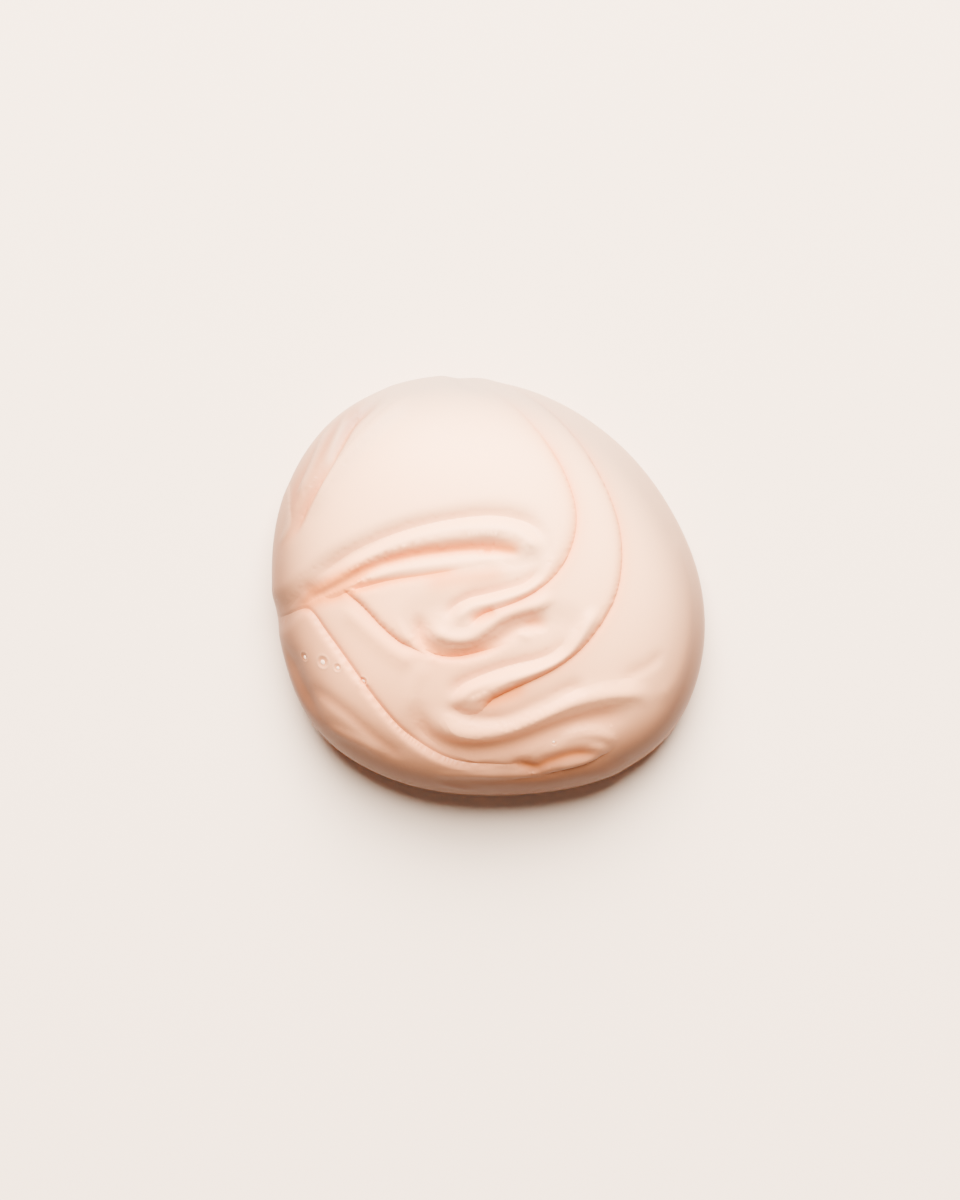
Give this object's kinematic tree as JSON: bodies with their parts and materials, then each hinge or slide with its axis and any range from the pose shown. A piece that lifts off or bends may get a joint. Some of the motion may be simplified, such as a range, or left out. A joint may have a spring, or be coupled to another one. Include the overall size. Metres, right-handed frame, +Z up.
{
  "type": "cream dollop",
  "caption": "Dollop of thick pearl-pink cosmetic cream, folded on itself in soft laps, lying on a flat surface.",
  "frame": {"origin": "middle of the footprint's box on the floor the dollop rests on", "axes": "+Z up, +X to the right and +Y away, with the crown lobe towards +Y and the S-shaped folds towards -Y"},
  "size_m": [0.036, 0.0347, 0.012],
  "materials": {
    "cream": "satin, pearly",
    "bubble_skin": "satin, thin and slightly clear"
  },
  "bodies": {
    "root": {"base_pool": "cream", "outer_coil": "cream", "waist_fold": "cream", "left_panel": "cream", "lower_fold": "cream", "lower_lip": "cream", "rim_lap": "cream", "foot_band": "cream", "lower_tongue": "cream", "middle_coil": "cream", "centre_panel": "cream", "upper_tongue": "cream", "crown_lobe": "cream", "crown_lip": "cream", "upper_flank_fold": "cream", "lower_flank_fold": "cream", "air_bubbles": "bubble_skin"}
  },
  "joints": []
}
